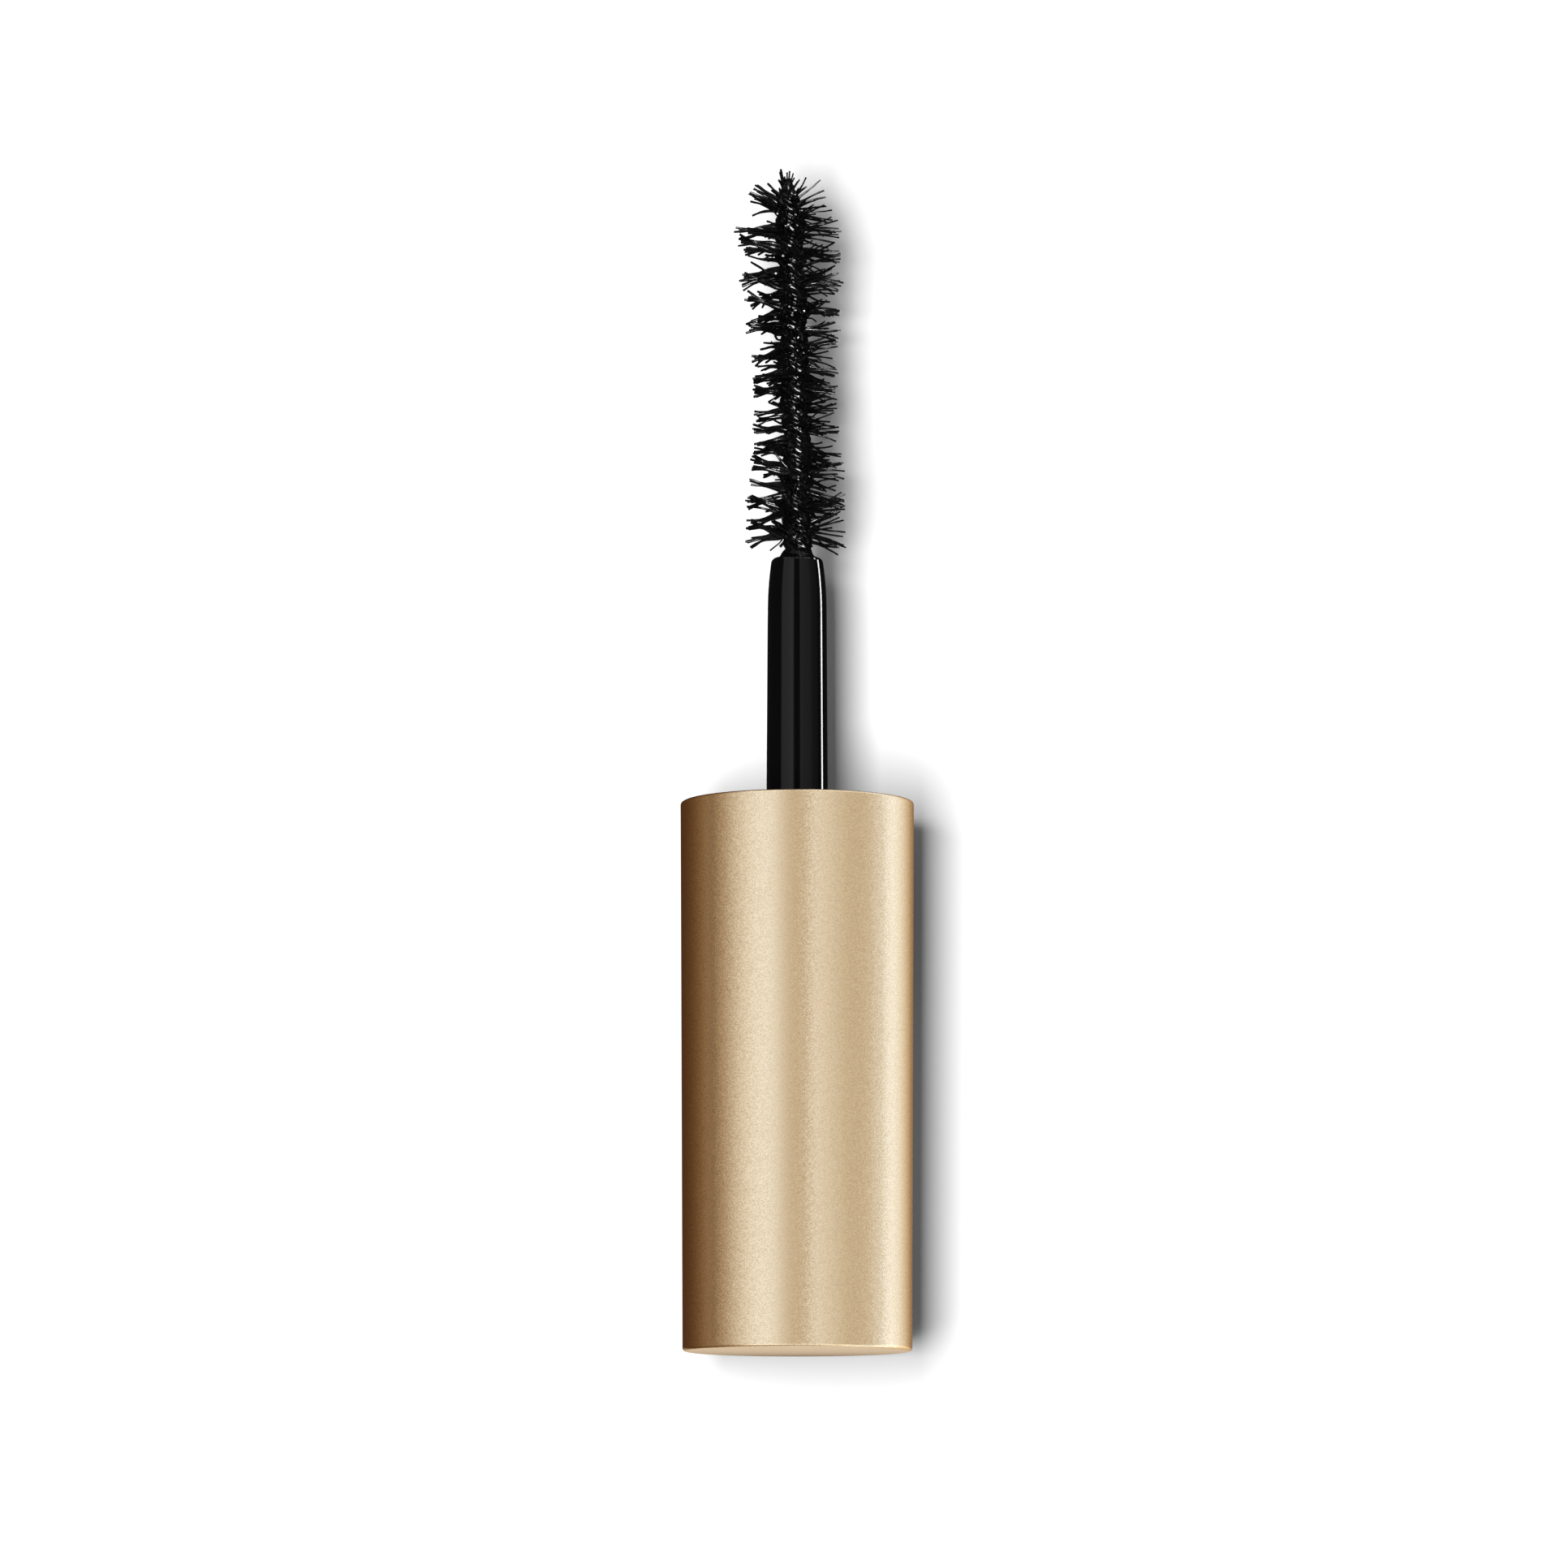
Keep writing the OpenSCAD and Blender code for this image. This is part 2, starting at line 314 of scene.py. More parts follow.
# ---------------------------------------------------------------------------------------------------------
# Bristles. Several hundred black nylon filaments, laid across the gap between the wire's strands before
# it is twisted, so they stand out in a double spiral. The machine then trims them to a waisted outline.
# Wet product draws them together in tufts, more on one side than on the other.
# ---------------------------------------------------------------------------------------------------------
FILAMENTS = 860
FILAMENTS_A_TUFT = 6.0
FILAMENT_R = 0.058 * MM
FILAMENT_POINTS = 10
FILAMENT_SIDES = 6
FIRST_PAST_NOSE = 0.1 * MM
LAST_SHORT_OF_TIP = 1.8 * MM        # the last ones lean forward and reach the rest of the way
BELLY_R = 3.95 * MM
WAIST_R = 3.16 * MM
TIP_R = 1.8 * MM
WAIST_AT = 0.38             # places along the brush, as shares of the way from its foot to its tip
TIP_FROM = 0.89
FAN_FROM = 0.94
LOWER_SIDE = 0.31           # from the waist to each belly, in the same shares
UPPER_SIDE = 0.42
FILM_PATCH = 0.3 * MM       # the size of the film's smooth and rough patches
FILM_SWELL = 0.35 * MM      # and of its thick and thin places along a filament
BRISTLE_SEED = 7


def wet_nylon():
    """Nylon filament, drawn and dyed black, under a wet film of product: a broken, glossy shine."""
    material, tree, output = new_material("black_nylon_wet")
    place = add(tree, "ShaderNodeTexCoord").outputs["Object"]
    film = add(tree, "ShaderNodeTexNoise", {"Vector": place, "Scale": 1 / FILM_PATCH, "Detail": 3.0})
    gloss = add(tree, "ShaderNodeMapRange", {"Value": film.outputs["Fac"], "From Min": 0.3, "From Max": 0.7,
                                             "To Min": 0.08, "To Max": 0.32})
    lumps = add(tree, "ShaderNodeBump", {"Height": film.outputs["Fac"], "Strength": 0.5,
                                         "Distance": 0.05 * MM})
    shader = add(tree, "ShaderNodeBsdfPrincipled", {
        "Base Color": linear("#09090a"), "Roughness": gloss.outputs["Result"], "IOR": 1.53,
        "Specular IOR Level": 0.5, "Normal": lumps.outputs["Normal"]})
    tree.links.new(shader.outputs["BSDF"], output.inputs["Surface"])
    return material


nylon = wet_nylon()


def bristle_tree():
    """Draws every filament as a short curve whose points follow from its number and its place along it."""
    tree = bpy.data.node_groups.new("bristle_spiral", "GeometryNodeTree")
    tree.interface.new_socket("Geometry", in_out="OUTPUT", socket_type="NodeSocketGeometry")
    for name, kind in (("Count", "Int"), ("First", "Float"), ("Last", "Float"), ("Pitch", "Float"),
                       ("Foot", "Float"), ("Axis height", "Float"), ("Bow", "Float"),
                       ("Bow start", "Float"), ("Belly radius", "Float"), ("Waist radius", "Float"),
                       ("Tip radius", "Float"), ("Filament radius", "Float"), ("Tuft size", "Float")):
        tree.interface.new_socket(name, in_out="INPUT", socket_type=f"NodeSocket{kind}")
    given = add(tree, "NodeGroupInput").outputs

    # One straight line of a few points, once for each filament
    line = add(tree, "GeometryNodeCurvePrimitiveLine")
    points = add(tree, "GeometryNodeResampleCurve", {"Curve": line.outputs["Curve"],
                                                     "Count": FILAMENT_POINTS})
    copies = add(tree, "GeometryNodeDuplicateElements",
                 {"Geometry": points.outputs["Curve"], "Amount": given["Count"]}, domain="SPLINE")

    # What is worked out for each point, one step a row: its name, how, and from what. That is a figure, a
    # step above it, one of the tree's inputs, which have capital letters, the filament's "number", or "out",
    # the share of the way from its root. DRAW draws a random value by a number, between two limits and with a
    # seed. RAMP takes a value smoothly from one range to another. The rest are Math operations.
    steps = (
        # Its number in its own spiral row, the middle of the tuft that it's drawn into, and where both stand
        ("row", "MODULO", "number", 2.0),
        ("half number", "DIVIDE", "number", 2.0),
        ("order", "FLOOR", "half number"),
        ("order in tufts", "DIVIDE", "order", "Tuft size"),
        ("tuft", "FLOOR", "order in tufts"),
        ("tuft number", "MULTIPLY_ADD", "tuft", 2.0, "row"),
        ("tuft and half", "ADD", "tuft", 0.5),
        ("tuft middle", "MULTIPLY", "tuft and half", "Tuft size"),
        ("row count", "DIVIDE", "Count", 2.0),
        ("row reach", "SUBTRACT", "Last", "First"),
        ("share", "DIVIDE", "order", "row count"),
        ("own place", "MULTIPLY_ADD", "share", "row reach", "First"),
        ("own shift", "DRAW", "number", -0.08 * MM, 0.08 * MM, 14),
        ("own y", "ADD", "own place", "own shift"),
        ("tuft share", "DIVIDE", "tuft middle", "row count"),
        ("tuft place", "MULTIPLY_ADD", "tuft share", "row reach", "First"),
        ("tuft shift", "DRAW", "tuft number", -0.15 * MM, 0.15 * MM, 15),
        ("tuft y", "ADD", "tuft place", "tuft shift"),

        # The angles of its row at both places
        ("quarter", "MULTIPLY_ADD", "row", 0.5, 0.25),
        ("own y past foot", "SUBTRACT", "own y", "Foot"),
        ("own turns", "DIVIDE", "own y past foot", "Pitch"),
        ("own turns left", "SUBTRACT", "quarter", "own turns"),
        ("own row angle", "MULTIPLY", "own turns left", math.tau),
        ("tuft y past foot", "SUBTRACT", "tuft y", "Foot"),
        ("tuft turns", "DIVIDE", "tuft y past foot", "Pitch"),
        ("tuft turns left", "SUBTRACT", "quarter", "tuft turns"),
        ("tuft row angle", "MULTIPLY", "tuft turns left", math.tau),

        # How strongly its tuft holds it: most on the wet side, hardly at the root, a little less at the end
        ("facing", "COSINE", "tuft row angle"),
        ("wet", "RAMP", "facing", -1.0, 0.6, 0.92, 0.4),
        ("loose tip", "RAMP", "share", 0.9, 0.98, 1.0, 0.35),
        ("wet and tip", "MULTIPLY", "wet", "loose tip"),
        ("tuft hold", "DRAW", "tuft number", 0.75, 1.02, 1),
        ("hold", "MULTIPLY", "wet and tip", "tuft hold"),
        ("grow", "RAMP", "out", 0.12, 0.7, 0.0, 1.0),
        ("release", "RAMP", "out", 0.75, 1.0, 1.0, 0.82),
        ("grow and release", "MULTIPLY", "grow", "release"),
        ("pull", "MULTIPLY", "hold", "grow and release"),
        ("free", "SUBTRACT", 1.0, "pull"),

        # Angle round the axis, with its own scatter, which the grip of the wire keeps small at the root
        ("spread", "RAMP", "out", 0.0, 0.5, 0.3, 1.0),
        ("wide scatter", "DRAW", "number", -0.36, 0.36, 2),
        ("small scatter", "DRAW", "number", -0.22, 0.22, 3),
        ("scatter", "ADD", "wide scatter", "small scatter"),
        ("own angle", "MULTIPLY_ADD", "scatter", "spread", "own row angle"),
        ("angle apart", "SUBTRACT", "own angle", "tuft row angle"),
        ("tuft scatter", "DRAW", "tuft number", -0.2, 0.2, 4),
        ("tuft angle", "MULTIPLY_ADD", "tuft scatter", "spread", "tuft row angle"),
        ("held angle", "MULTIPLY_ADD", "angle apart", "free", "tuft angle"),
        ("own bend", "DRAW", "number", -0.09, 0.09, 5),
        ("out squared", "POWER", "out", 2.0),
        ("bend", "MULTIPLY", "own bend", "out squared"),
        ("angle", "ADD", "held angle", "bend"),

        # Lean along the axis: each tuft its own, each filament a little, strays a lot, and a fan at the tip
        ("tuft lean", "DRAW", "tuft number", -0.32, 0.32, 6),
        ("own lean", "DRAW", "number", -0.32, 0.32, 7),
        ("held lean", "MULTIPLY_ADD", "own lean", "free", "tuft lean"),
        ("stray chance", "DRAW", "number", 0.0, 1.0, 8),
        ("strays", "GREATER_THAN", "stray chance", 0.95),
        ("stray lean", "DRAW", "number", -0.6, 0.6, 9),
        ("stray", "MULTIPLY", "strays", "stray lean"),
        ("lean without fan", "ADD", "held lean", "stray"),
        ("fan", "RAMP", "share", FAN_FROM, 1.0, 0.0, 1.2),
        ("lean", "ADD", "lean without fan", "fan"),

        # Trimmed length: a waist, two bellies and a rounded tip, with some filaments cut short
        ("past waist", "SUBTRACT", "share", WAIST_AT),
        ("from waist", "ABSOLUTE", "past waist"),
        ("on upper side", "GREATER_THAN", "share", WAIST_AT),
        ("side length", "MULTIPLY_ADD", "on upper side", UPPER_SIDE - LOWER_SIDE, LOWER_SIDE),
        ("side share", "DIVIDE", "from waist", "side length"),
        ("up to belly", "MINIMUM", "side share", 1.0),
        ("swell", "POWER", "up to belly", 1.6),
        ("belly past waist", "SUBTRACT", "Belly radius", "Waist radius"),
        ("body", "MULTIPLY_ADD", "belly past waist", "swell", "Waist radius"),
        ("share past tip from", "SUBTRACT", "share", TIP_FROM),
        ("tip share", "DIVIDE", "share past tip from", 1 - TIP_FROM),
        ("into tip", "MAXIMUM", "tip share", 0.0),
        ("tip curve", "POWER", "into tip", 2.6),
        ("tip left", "SUBTRACT", 1.0, "tip curve"),
        ("rounding", "POWER", "tip left", 0.7),
        ("rounded body", "MULTIPLY", "body", "rounding"),
        ("trimmed", "MAXIMUM", "rounded body", "Tip radius"),
        ("cut", "DRAW", "number", 0.93, 1.02, 11),
        ("short chance", "DRAW", "number", 0.0, 1.0, 10),
        ("is short", "GREATER_THAN", "short chance", 0.88),
        ("short by", "DRAW", "number", 0.05, 0.35, 12),
        ("shortened", "MULTIPLY", "is short", "short by"),
        ("spare", "SUBTRACT", "cut", "shortened"),
        ("length", "MULTIPLY", "trimmed", "spare"),

        # Its points, along the axis and then across it, with the brush's bow
        ("reached", "MULTIPLY", "length", "out"),
        ("y apart", "SUBTRACT", "own y", "tuft y"),
        ("held y", "MULTIPLY_ADD", "y apart", "free", "tuft y"),
        ("lean sine", "SINE", "lean"),
        ("leant y", "MULTIPLY_ADD", "reached", "lean sine", "held y"),
        ("own drift", "DRAW", "number", -1.0, 1.0, 13),
        ("out cubed", "POWER", "out", 3.0),
        ("drift reach", "MULTIPLY", "out cubed", 0.22 * MM),
        ("drift", "MULTIPLY", "own drift", "drift reach"),
        ("y", "ADD", "leant y", "drift"),
        ("y past bow start", "SUBTRACT", "held y", "Bow start"),
        ("bow length", "SUBTRACT", "Last", "Bow start"),
        ("bow share", "DIVIDE", "y past bow start", "bow length"),
        ("bowed", "MAXIMUM", "bow share", 0.0),
        ("bowed squared", "POWER", "bowed", 2.0),
        ("side", "MULTIPLY", "bowed squared", "Bow"),
        ("lean cosine", "COSINE", "lean"),
        ("radius", "MULTIPLY", "reached", "lean cosine"),
        ("angle cosine", "COSINE", "angle"),
        ("x", "MULTIPLY_ADD", "radius", "angle cosine", "side"),
        ("angle sine", "SINE", "angle"),
        ("drop", "MULTIPLY", "radius", "angle sine"),
        ("z", "SUBTRACT", "Axis height", "drop"),

        # Its thickness: a wet film that is thick at the root, and thicker on the wet side
        ("laden", "RAMP", "wet", 0.5, 0.92, 1.0, 1.45),
        ("laden radius", "MULTIPLY", "Filament radius", "laden"),
        ("wet root", "RAMP", "out", 0.25, 0.75, 2.0, 1.0))
    found = {socket.name: socket for socket in given if socket.name}
    found["number"] = copies.outputs["Duplicate Index"]
    found["out"] = add(tree, "GeometryNodeSplineParameter").outputs["Factor"]
    for name, how, *names in steps:
        values = [found[value] if isinstance(value, str) else value for value in names]
        if how == "DRAW":
            limits = {"ID": values[0], 2: values[1], 3: values[2], "Seed": BRISTLE_SEED + values[3]}
            drawn = add(tree, "FunctionNodeRandomValue", limits, label=name, data_type="FLOAT")
            found[name] = drawn.outputs[1]      # sockets 2 and 3, and output 1, are those of a single value
        elif how == "RAMP":
            found[name] = add(tree, "ShaderNodeMapRange", dict(enumerate(values)), label=name,
                              interpolation_type="SMOOTHSTEP").outputs["Result"]
        else:
            found[name] = add(tree, "ShaderNodeMath", dict(enumerate(values)), label=name,
                              operation=how).outputs["Value"]
    place = add(tree, "ShaderNodeCombineXYZ", {"X": found["x"], "Y": found["y"], "Z": found["z"]})
    bent = add(tree, "GeometryNodeSetPosition", {"Geometry": copies.outputs["Geometry"],
                                                 "Position": place.outputs["Vector"]})

    # The film is uneven on the way, and the filament is swept along its points at that thickness
    film = add(tree, "ShaderNodeTexNoise", {"Vector": place.outputs["Vector"], "Scale": 1 / FILM_SWELL,
                                            "Detail": 1.0})
    uneven = add(tree, "ShaderNodeMapRange", {"Value": film.outputs["Fac"], "From Min": 0.3,
                                              "From Max": 0.7, "To Min": 0.8, "To Max": 1.3})
    coat = add(tree, "ShaderNodeMath", {0: found["wet root"], 1: uneven.outputs["Result"]},
               operation="MULTIPLY")
    thick = add(tree, "ShaderNodeMath", {0: found["laden radius"], 1: coat.outputs["Value"]},
                operation="MULTIPLY")
    profile = add(tree, "GeometryNodeCurvePrimitiveCircle", {"Resolution": FILAMENT_SIDES, "Radius": 1.0})
    swept = add(tree, "GeometryNodeCurveToMesh", {"Curve": bent.outputs["Geometry"],
                                                  "Profile Curve": profile.outputs["Curve"],
                                                  "Scale": thick.outputs["Value"], "Fill Caps": True})

    # Smooth sides, which are the faces with four corners, and flat cut ends
    corners = add(tree, "GeometryNodeInputMeshFaceNeighbors")
    is_side = add(tree, "ShaderNodeMath", {0: corners.outputs["Vertex Count"], 1: 4.0, 2: 0.1},
                  operation="COMPARE")
    flat = add(tree, "GeometryNodeSetShadeSmooth", {"Geometry": swept.outputs["Mesh"],
                                                    "Shade Smooth": False})
    smooth = add(tree, "GeometryNodeSetShadeSmooth", {"Geometry": flat.outputs["Geometry"],
                                                      "Selection": is_side.outputs["Value"]})
    real = add(tree, "GeometryNodeRealizeInstances", {"Geometry": smooth.outputs["Geometry"]})
    painted = add(tree, "GeometryNodeSetMaterial", {"Geometry": real.outputs["Geometry"],
                                                    "Material": nylon})
    add(tree, "NodeGroupOutput", {"Geometry": painted.outputs["Geometry"]})
    return tree


def grown(name, tree, values):
    """The plain mesh object that a geometry tree gives for the values of its named inputs."""
    maker = mesh_object(name + "_maker", bpy.data.meshes.new(name + "_maker"))
    modifier = maker.modifiers.new(name, "NODES")
    modifier.node_group = tree
    for socket in tree.interface.items_tree:
        if socket.in_out == "INPUT":
            modifier[socket.identifier] = values[socket.name]
    return mesh_object(name, plain_mesh(maker))


bristles = grown("bristle_filaments", bristle_tree(), {
    "Count": FILAMENTS, "First": brush_low + FIRST_PAST_NOSE, "Last": brush_end - LAST_SHORT_OF_TIP,
    "Pitch": TWIST_PITCH, "Foot": wire_foot, "Axis height": axis_z, "Bow": -BOW_AT_TIP,
    "Bow start": stem_end, "Belly radius": BELLY_R, "Waist radius": WAIST_R, "Tip radius": TIP_R,
    "Filament radius": FILAMENT_R, "Tuft size": FILAMENTS_A_TUFT})
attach(bristles, "root")
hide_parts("bristles")

# ---------------------------------------------------------------------------------------------------------
# Product. Black mascara left on the brush: it lies thick and lumpy over the wire's strands, fills the
# twist between the bristles' roots, and closes the step between the stem's nose and the brush.
# ---------------------------------------------------------------------------------------------------------
PASTE_FILM = 0.32 * MM      # how thick it lies over the wire
PASTE_FILL = 0.72 * MM      # how far it fills the twist between the strands
PASTE_ROW = 0.22 * MM       # how much higher than that it stands along the bristle rows
PASTE_LUMP = 0.16 * MM
BIG_LUMP_SIZE = 1.0 * MM
SMALL_LUMP_SIZE = 0.4 * MM
PASTE_GRAIN = 0.5 * MM
PASTE_RINGS_A_MM = 14
PASTE_SIDES = 56
PASTE_INTO_NOSE = 0.15 * MM
PASTE_PAST_WIRE = 0.4 * MM
TAPER_LEN = 3.2 * MM        # how far from its end it starts to narrow
NOSE_R = 1.4 * MM
NOSE_LEN = 0.9 * MM

paste_end = wire_end + PASTE_PAST_WIRE


def wet_product():
    """Mascara: a wax and water emulsion, black and wet, which shines in small bright points."""
    material, tree, output = new_material("mascara_wet")
    place = add(tree, "ShaderNodeTexCoord").outputs["Object"]
    grain = add(tree, "ShaderNodeTexNoise", {"Vector": place, "Scale": 1 / PASTE_GRAIN, "Detail": 1.0})
    gloss = add(tree, "ShaderNodeMapRange", {"Value": grain.outputs["Fac"], "From Min": 0.35,
                                             "From Max": 0.65, "To Min": 0.05, "To Max": 0.2})
    skin = add(tree, "ShaderNodeBump", {"Height": grain.outputs["Fac"], "Strength": 0.25,
                                        "Distance": 0.06 * MM})
    shader = add(tree, "ShaderNodeBsdfPrincipled", {
        "Base Color": linear("#070708"), "Roughness": gloss.outputs["Result"], "IOR": 1.45,
        "Normal": skin.outputs["Normal"]})
    tree.links.new(shader.outputs["BSDF"], output.inputs["Surface"])
    return material


def paste_radius(y, angle):
    """The product's outer radius: over the strands, higher along the rows, wide at the nose, lumpy."""
    round_strand = angle - twist(y)
    behind = (WIRE_R + PASTE_FILM) ** 2 - (STRAND_R * math.sin(round_strand)) ** 2
    over_strand = STRAND_R * abs(math.cos(round_strand)) + math.sqrt(behind)
    in_row = PASTE_FILL + PASTE_ROW * abs(math.sin(round_strand)) ** 5
    spot = off_axis(y, angle, PASTE_FILL)
    lumps = noise.noise(spot / BIG_LUMP_SIZE) + 0.4 * noise.noise(spot / SMALL_LUMP_SIZE)
    radius = max(over_strand, in_row) + PASTE_LUMP * lumps
    at_nose = max(0.0, 1 - (y - stem_end) / NOSE_LEN)
    radius += (NOSE_R - radius) * at_nose ** 1.5
    taper = max(0.0, 1 - (paste_end - y) / TAPER_LEN)
    return radius * math.sqrt(max(0.0, 1 - taper ** 2))


def paste_mesh():
    """A closed lumpy sleeve over the wire, from inside the stem's nose to the tip. Its mesh turns too."""
    low = stem_end - PASTE_INTO_NOSE
    rings = round((paste_end - low) / MM * PASTE_RINGS_A_MM)
    points, faces = [off_axis(low, 0, 0)], []
    for i in range(rings):
        y = low + (paste_end - low) * i / rings
        for k in range(PASTE_SIDES):
            angle = twist(y) + math.tau * k / PASTE_SIDES
            points.append(off_axis(y, angle, paste_radius(y, angle)))
    points.append(off_axis(paste_end, 0, 0))
    for k in range(PASTE_SIDES):
        after = (k + 1) % PASTE_SIDES
        faces.append((0, 1 + after, 1 + k))
        for i in range(rings - 1):
            first = 1 + i * PASTE_SIDES
            above = first + PASTE_SIDES
            faces.append((first + k, first + after, above + after, above + k))
        last = 1 + (rings - 1) * PASTE_SIDES
        faces.append((last + k, last + after, len(points) - 1))
    mesh = bpy.data.meshes.new("product_on_wire")
    mesh.from_pydata(points, [], faces)
    mesh.shade_smooth()
    return mesh


product = mesh_object("product_on_wire", paste_mesh())
dress(product, wet_product())
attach(product, "root")

# ---------------------------------------------------------------------------------------------------------
# Studio. A matt white table under a soft key light, and two glowing half tubes over the applicator: one
# draws the lacquer's broad bands, the other the polished stem's. Sheets beside the cap stand for the table
# in its reflections. They are a painted reflection, dark on the left and white on the right, and dim next
# to the cap, where they paint the shadow that the cap casts on the table. The camera looks down from above
# the cap.
# ---------------------------------------------------------------------------------------------------------
TABLE_REACH = 2000 * MM
CAMERA_DISTANCE = 540 * MM
CAMERA_TILT = math.radians(7)
VIEW_WIDTH = 114.25 * MM
AIM_PAST_MOUTH = 1.37 * MM
AIM_LEFT = 0.96 * MM
TUBE_RADIUS = 200 * MM
SHEET_REACH = 350 * MM
SHEET_LIFT = 0.3 * MM
END_SHEET_LEFT = 12 * MM        # short, so that the cap's dark side doesn't catch it
END_SHEET_RIGHT = 100 * MM
DIM_IS_WARM = 0.72      # round the cap, the studio's dim corners are warm and its bright panels cool


def glow_colour(level, warmth):
    """The light of a panel, warmer where it is dim if warmth is under 1."""
    return level ** warmth, level, level ** (1 / warmth), 1.0


def matte(name, hex_code):
    """A plain matt paint."""
    material, tree, output = new_material(name)
    shader = add(tree, "ShaderNodeBsdfDiffuse", {"Color": linear(hex_code)})
    tree.links.new(shader.outputs["BSDF"], output.inputs["Surface"])
    return material


def sheet_of(name, corners, material):
    """A sheet that belongs to the studio, made of four-cornered faces between two rows of corners."""
    mesh = bpy.data.meshes.new(name)
    faces = [(i, i + 2, i + 3, i + 1) for i in range(0, len(corners) - 2, 2)]
    mesh.from_pydata(corners, [], faces)
    sheet = mesh_object(name, mesh)
    dress(sheet, material)
    return sheet


def glowing_sheet(name, rows, pieces, warmth=1.0):
    """A sheet that glows for some pieces only. Each row has its two ends and its glow."""
    material, tree, output = new_material(name)
    glow = add(tree, "ShaderNodeAttribute", attribute_name="glow")
    light = add(tree, "ShaderNodeEmission", {"Color": glow.outputs["Color"]})
    clear = add(tree, "ShaderNodeBsdfTransparent")
    both = add(tree, "ShaderNodeAddShader", {0: light.outputs["Emission"], 1: clear.outputs["BSDF"]})
    tree.links.new(both.outputs["Shader"], output.inputs["Surface"])
    sheet = sheet_of(name, [end for row in rows for end in row[:2]], material)
    colours = [part for row in rows for part in 2 * glow_colour(row[2], warmth)]
    sheet.data.attributes.new("glow", "FLOAT_COLOR", "POINT").data.foreach_set("color", colours)
    sheet.visible_camera = False
    sheet.visible_diffuse = False
    sheet.visible_shadow = False
    shine_on(sheet, pieces)


def shine_on(light, pieces):
    """Lets a light reach only some pieces."""
    lit = bpy.data.collections.new(light.name + "_lit")
    for piece in pieces:
        lit.objects.link(piece)
    light.light_linking.receiver_collection = lit


def round_axis(levels):
    """Rows of a half tube over the applicator, at angles to the right of straight up."""
    turns = [(math.radians(angle), level) for angle, level in levels]
    return [(*((TUBE_RADIUS * math.sin(turn), y, axis_z + TUBE_RADIUS * math.cos(turn))
               for y in (-SHEET_REACH, SHEET_REACH)), level) for turn, level in turns]


def beside_cap(levels):
    """Rows of a sheet on the table, at distances to the right of the applicator in millimetres."""
    return [((x * MM, -SHEET_REACH, SHEET_LIFT), (x * MM, SHEET_REACH, SHEET_LIFT), level)
            for x, level in levels]


def past_closed_end(levels):
    """Rows of a sheet on the table, at distances from the cap's closed end in millimetres."""
    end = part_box("outer_cap")[0].y
    return [((-END_SHEET_LEFT, end - out * MM, SHEET_LIFT), (END_SHEET_RIGHT, end - out * MM, SHEET_LIFT),
             level) for out, level in levels]


def softbox(name, place, target, width, length, radiance, pieces=()):
    """A rectangular light, length along Y. With pieces named, it shows only in their reflections."""
    light = bpy.data.lights.new(name, "AREA")
    light.shape = "RECTANGLE"
    light.size = width
    light.size_y = length
    light.energy = radiance * math.pi * width * length
    lamp = bpy.data.objects.new(name, light)
    bpy.context.scene.collection.objects.link(lamp)
    away = (Vector(place) - Vector(target)).normalized()
    across = Vector((0, 1, 0)).cross(away).normalized()
    along = away.cross(across)
    lamp.matrix_world = Matrix.Translation(place) @ Matrix((across, along, away)).transposed().to_4x4()
    lamp.visible_camera = False
    if pieces:
        lamp.visible_diffuse = False
        shine_on(lamp, pieces)
    return lamp


table_top = sheet_of("table_top", [(x, y, 0) for x in (-TABLE_REACH, TABLE_REACH)
                                   for y in (-TABLE_REACH, TABLE_REACH)],
                     matte("white_table", "#f2f2f2"))
table_top.visible_glossy = False
nodes["outer_cap"].visible_diffuse = False      # so that its gold doesn't tint the table's shadow
cap_pieces = [nodes[name] for name in ("outer_cap", "inner_cap", "cap_weight", "neck_gasket")]
brush_pieces = [twisted_wire, bristles, product]
glowing_sheet("cap_tube", round_axis([(-90, 0.25), (-75, 0.5), (-55, 1.1), (-38, 1.44), (-24, 1.42),
                                      (-8, 0.78), (9, 0.76), (15, 1.34), (30, 1.06), (55, 0.76),
                                      (76, 0.86), (90, 1.3)]), cap_pieces, warmth=DIM_IS_WARM)
# Painted reflection of the table on the right, dim within a few millimetres of the cap: a painted shadow of
# the cap
glowing_sheet("cap_right", beside_cap([(9, 0.08), (12, 0.3), (17, 0.9), (25, 1.45), (42, 1.75), (80, 1.6),
                                     (160, 1.3), (300, 1.3)]), cap_pieces, warmth=DIM_IS_WARM)
# Painted reflection on the cap's left side, dark all over and darkest next to the cap
glowing_sheet("cap_left", beside_cap([(-9, 0.02), (-20, 0.06), (-40, 0.16), (-72, 0.27), (-200, 0.28)]),
              cap_pieces, warmth=DIM_IS_WARM)
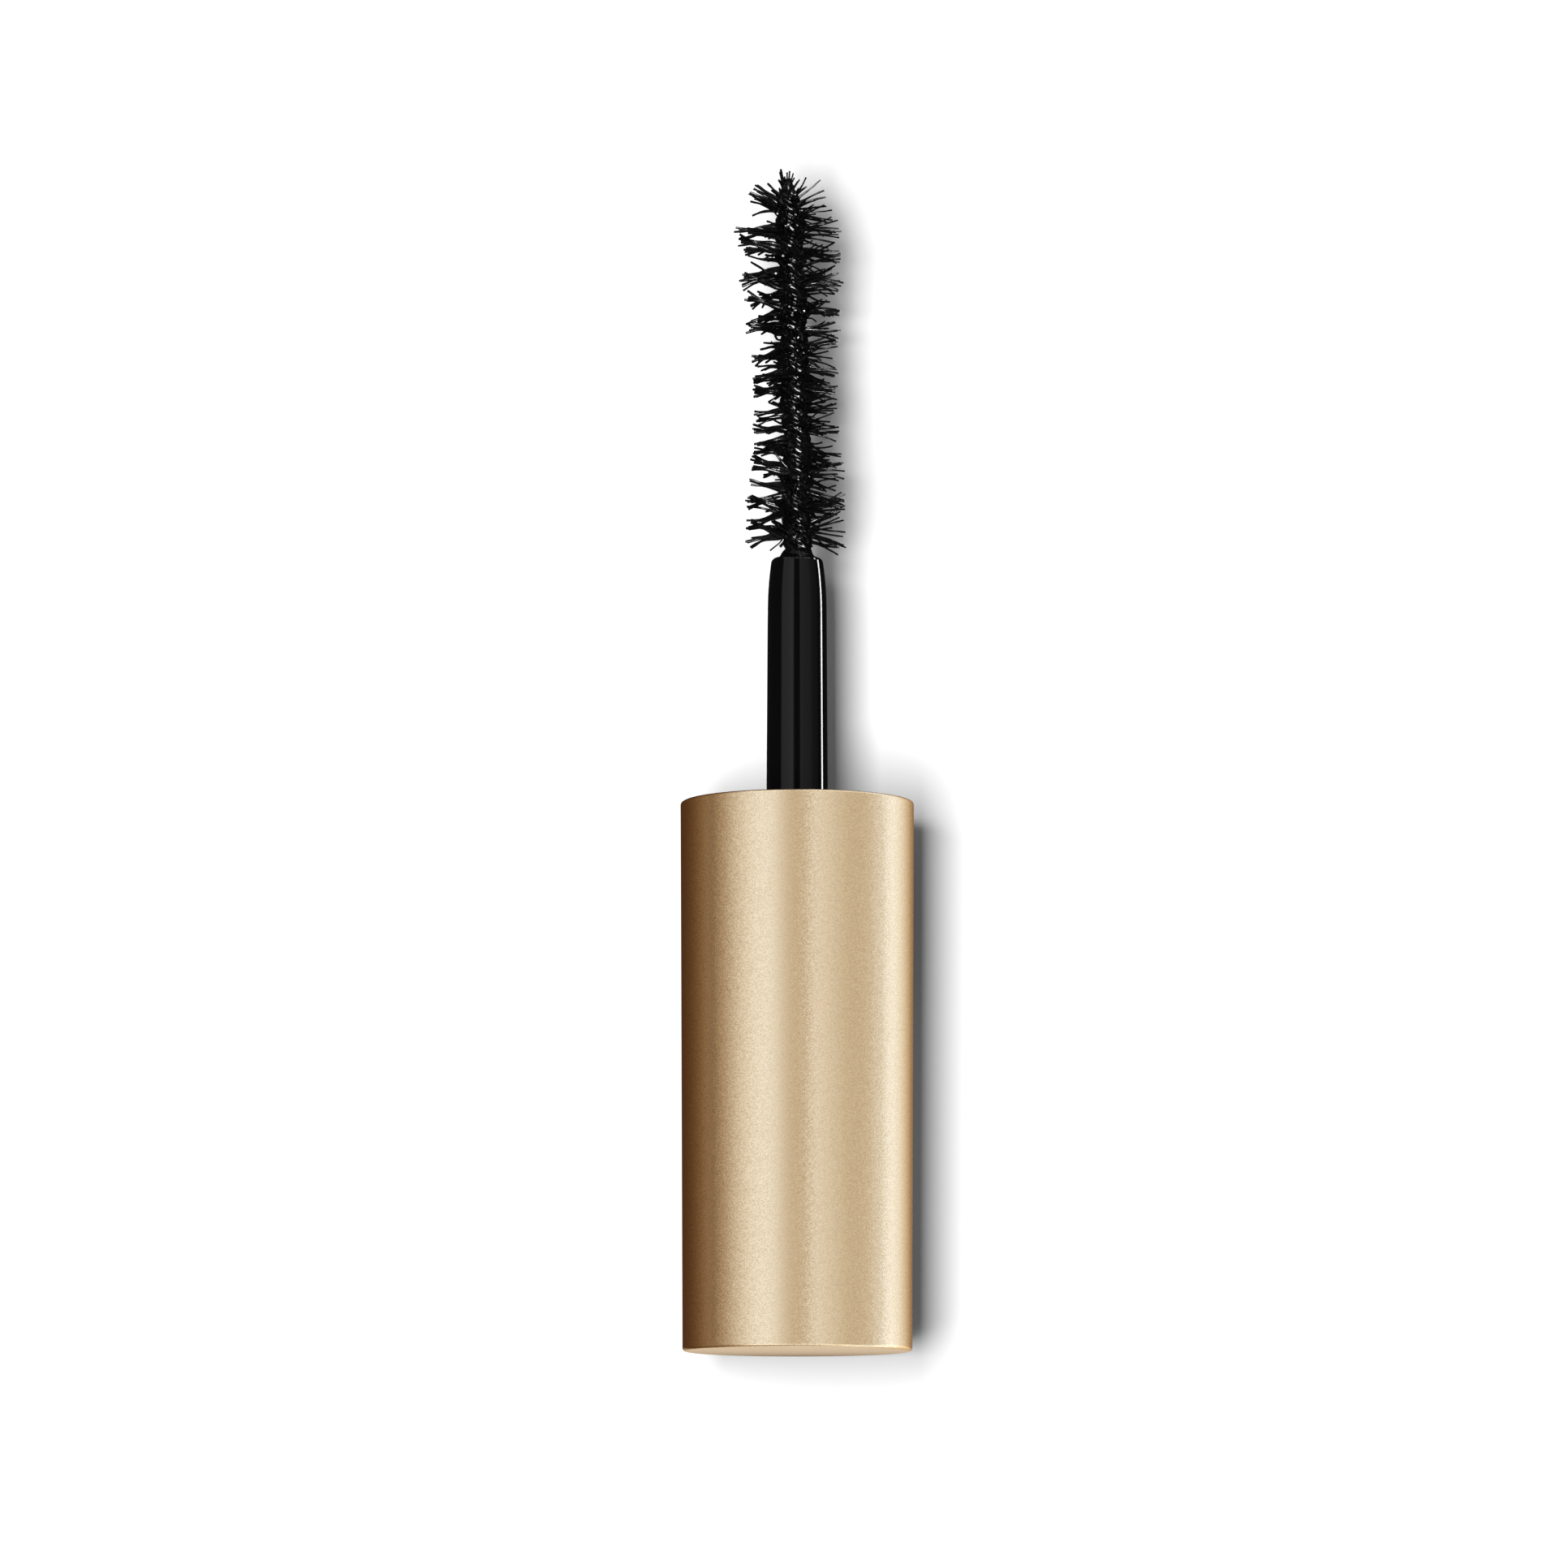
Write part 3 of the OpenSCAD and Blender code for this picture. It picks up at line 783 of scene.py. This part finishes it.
# Painted reflection of the table past the closed end, dim at the end itself: a painted shadow of the cap
glowing_sheet("cap_end", past_closed_end([(0, 0.3), (0.45, 0.45), (0.85, 0.85), (3, 1.08), (300, 1.08)]),
              cap_pieces)
glowing_sheet("stem_tube", round_axis([(-66, 0.0), (-60, 0.4), (-40, 0.45), (-18, 0.58), (-10, 0.0),
                                       (9, 0.0), (12, 0.34), (30, 0.28), (50, 0.24), (62, 0.12),
                                       (85, 0.06), (90, 0.0)]), [nodes["stem"]])

key = softbox("key", (-0.118, -0.06, 0.5), (0, 0, 0), 0.178, 0.3, 21.6)
key.visible_glossy = False
softbox("stem_line", (0.024, 0.028, 0.0017), (0, 0.028, axis_z), 0.0034, 0.064, 16.0, [nodes["stem"]])
softbox("bristle_spark", (0.04, 0.09, 0.45), (0, 0.03, axis_z), 0.13, 0.13, 60.0, [bristles])
softbox("product_spark", (0.05, 0.1, 0.4), (0, 0.03, axis_z), 0.26, 0.24, 26.0, [twisted_wire, product])
for end, y in (("front", -0.6), ("back", 0.6)):
    softbox(end + "_box", (0, y, 0.25), (0, 0, axis_z), 1.2, 0.5, 0.6, list(nodes.values()) + brush_pieces)

world = bpy.data.worlds.new("studio")
world.use_nodes = True
background = world.node_tree.nodes["Background"]
ray = add(world.node_tree, "ShaderNodeLightPath")
room = add(world.node_tree, "ShaderNodeMix", {"Factor": ray.outputs["Is Glossy Ray"],
                                              "A": linear("#6e6e6e"), "B": linear("#262626")},
           data_type="RGBA")
world.node_tree.links.new(room.outputs["Result"], background.inputs["Color"])
bpy.context.scene.world = world
bpy.context.scene.view_settings.view_transform = "Standard"

mouth_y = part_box("outer_cap")[1].y
camera_data = bpy.data.cameras.new("camera")
camera_data.lens = camera_data.sensor_width * CAMERA_DISTANCE / VIEW_WIDTH
camera = bpy.data.objects.new("camera", camera_data)
bpy.context.scene.collection.objects.link(camera)
aim = Vector((-AIM_LEFT, mouth_y + AIM_PAST_MOUTH, axis_z))
back = Vector((0, -math.sin(CAMERA_TILT), math.cos(CAMERA_TILT)))
camera.location = aim + CAMERA_DISTANCE * back
camera.rotation_euler = (CAMERA_TILT, 0, 0)
bpy.context.scene.camera = camera
